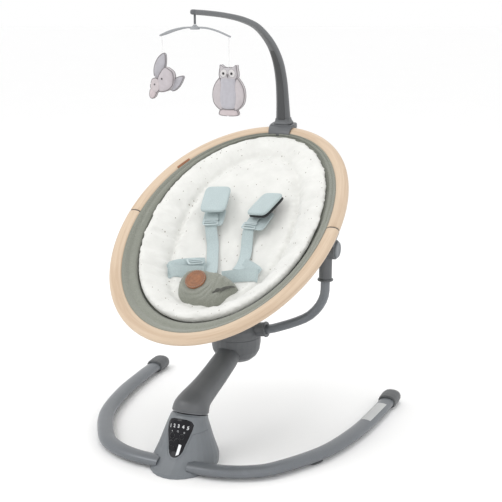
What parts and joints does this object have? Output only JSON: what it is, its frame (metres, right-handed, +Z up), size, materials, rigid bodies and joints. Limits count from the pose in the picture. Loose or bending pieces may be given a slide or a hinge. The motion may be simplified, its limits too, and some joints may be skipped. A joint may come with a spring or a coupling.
{
  "type": "baby swing",
  "caption": "Motorised baby swing on a bent-tube base, with a swivelling cradle, an oval reclining ring seat, padded inlay, harness and a lift-off toy arm.",
  "frame": {"origin": "centre of the footprint on the floor", "axes": "+X across the swing (to the right seen from the foot end), +Y towards the head end, +Z up"},
  "size_m": [0.6116, 0.61, 0.8486],
  "materials": {
    "frame_paint": "satin dark grey paint",
    "hub_plastic": "fine matte grain",
    "arm_plastic": "fine matte grain",
    "foot_rubber": "matte moulded rubber",
    "panel_gloss": "high gloss",
    "window_white": "bright satin",
    "steel": "turned steel",
    "copper": "enamelled winding",
    "board_green": "solder mask",
    "pale_wood": "clear matt lacquer",
    "seam_dark": "matte",
    "sage_fabric": "fine woven cloth",
    "cream_fabric": "soft flecked jersey",
    "webbing": "woven tape",
    "felt": "brushed felt",
    "clear_line": "clear nylon line"
  },
  "bodies": {
    "base": {"left_leg_tube": "frame_paint", "right_leg_tube": "frame_paint", "left_foot_cap": "foot_rubber", "right_foot_cap": "foot_rubber", "left_foot_pad": "foot_rubber", "right_foot_pad": "foot_rubber", "hub_lower_shell": "hub_plastic", "hub_upper_shell": "hub_plastic", "control_panel": "panel_gloss", "indicator_window": "window_white", "hub_base_plate": "hub_plastic", "main_bearing": "steel", "drive_coil": "copper", "control_board": "board_green", "power_socket": "foot_rubber"},
    "power_button": {"power_button": "panel_gloss"},
    "timer_button": {"timer_button": "panel_gloss"},
    "volume_up_button": {"volume_up_button": "panel_gloss"},
    "volume_down_button": {"volume_down_button": "panel_gloss"},
    "melody_button": {"melody_button": "panel_gloss"},
    "swing_arm": {"arm_cover": "arm_plastic", "joint_trim_ring": "seam_dark", "arm_bowl": "arm_plastic", "arm_beam": "steel", "swivel_post": "steel", "swing_shaft": "steel", "drive_magnet": "steel"},
    "cradle": {"swivel_cap": "arm_plastic", "left_cradle_tube": "frame_paint", "right_cradle_tube": "frame_paint", "left_pivot_housing": "arm_plastic", "right_pivot_housing": "arm_plastic", "left_pivot_pin": "steel", "right_pivot_pin": "steel"},
    "left_recline_button": {"left_recline_button": "hub_plastic"},
    "right_recline_button": {"right_recline_button": "hub_plastic"},
    "seat": {"upper_seat_ring": "pale_wood", "lower_seat_ring": "pale_wood", "left_ring_seam_band": "seam_dark", "right_ring_seam_band": "seam_dark", "left_ring_bracket": "arm_plastic", "right_ring_bracket": "arm_plastic", "toy_clamp": "arm_plastic", "seat_sling": "sage_fabric", "seat_inlay_pad": "cream_fabric", "left_shoulder_strap": "webbing", "right_shoulder_strap": "webbing", "left_shoulder_pad": "webbing", "right_shoulder_pad": "webbing", "left_waist_strap": "webbing", "right_waist_strap": "webbing", "harness_buckle": "hub_plastic", "crotch_cover": "sage_fabric"},
    "toy_arm": {"toy_arm": "arm_plastic"},
    "hanger": {"toy_hanger": "hub_plastic"},
    "owl": {"owl_toy": "felt", "owl_string": "clear_line"},
    "bird": {"bird_toy": "felt", "bird_string": "clear_line"}
  },
  "joints": [
    {"name": "power_button_push", "type": "slide", "parent": "base", "child": "power_button", "axis": [0, 0.9533, -0.3021], "range_m": [0, 0.001], "stiffness_N_per_m": 800},
    {"name": "timer_button_push", "type": "slide", "parent": "base", "child": "timer_button", "axis": [0, 0.9533, -0.3021], "range_m": [0, 0.001], "stiffness_N_per_m": 800},
    {"name": "volume_up_button_push", "type": "slide", "parent": "base", "child": "volume_up_button", "axis": [0, 0.9533, -0.3021], "range_m": [0, 0.001], "stiffness_N_per_m": 800},
    {"name": "volume_down_button_push", "type": "slide", "parent": "base", "child": "volume_down_button", "axis": [0, 0.9533, -0.3021], "range_m": [0, 0.001], "stiffness_N_per_m": 800},
    {"name": "melody_button_push", "type": "slide", "parent": "base", "child": "melody_button", "axis": [0, 0.9533, -0.3021], "range_m": [0, 0.001], "stiffness_N_per_m": 800},
    {"name": "swing", "type": "hinge", "parent": "base", "child": "swing_arm", "pos_m": [0, -0.199, 0.092], "axis": [0, 0.309, 0.9511], "range_deg": [-15, 15]},
    {"name": "seat_swivel", "type": "hinge", "parent": "swing_arm", "child": "cradle", "pos_m": [0, 0.021, 0.181], "axis": [0, 0, 1], "range_deg": [-90, 90]},
    {"name": "left_recline_button_push", "type": "slide", "parent": "cradle", "child": "left_recline_button", "axis": [1, 0, 0], "range_m": [0, 0.003], "stiffness_N_per_m": 1500},
    {"name": "right_recline_button_push", "type": "slide", "parent": "cradle", "child": "right_recline_button", "axis": [-1, 0, 0], "range_m": [0, 0.003], "stiffness_N_per_m": 1500},
    {"name": "recline", "type": "hinge", "parent": "cradle", "child": "seat", "pos_m": [0, 0, 0.391], "axis": [1, 0, 0], "range_deg": [-10, 8]},
    {"name": "toy_arm_lift", "type": "slide", "parent": "seat", "child": "toy_arm", "axis": [0, -0.124, 0.9923], "range_m": [0, 0.06]},
    {"name": "hanger_spin", "type": "hinge", "parent": "toy_arm", "child": "hanger", "pos_m": [0, -0.158, 0.839], "axis": [0, 0, 1], "continuous": true},
    {"name": "owl_swing", "type": "hinge", "parent": "hanger", "child": "owl", "pos_m": [0.067, -0.158, 0.802], "axis": [1, 0, 0], "range_deg": [-35, 35]},
    {"name": "bird_swing", "type": "hinge", "parent": "hanger", "child": "bird", "pos_m": [-0.067, -0.158, 0.802], "axis": [1, 0, 0], "range_deg": [-35, 35]}
  ]
}
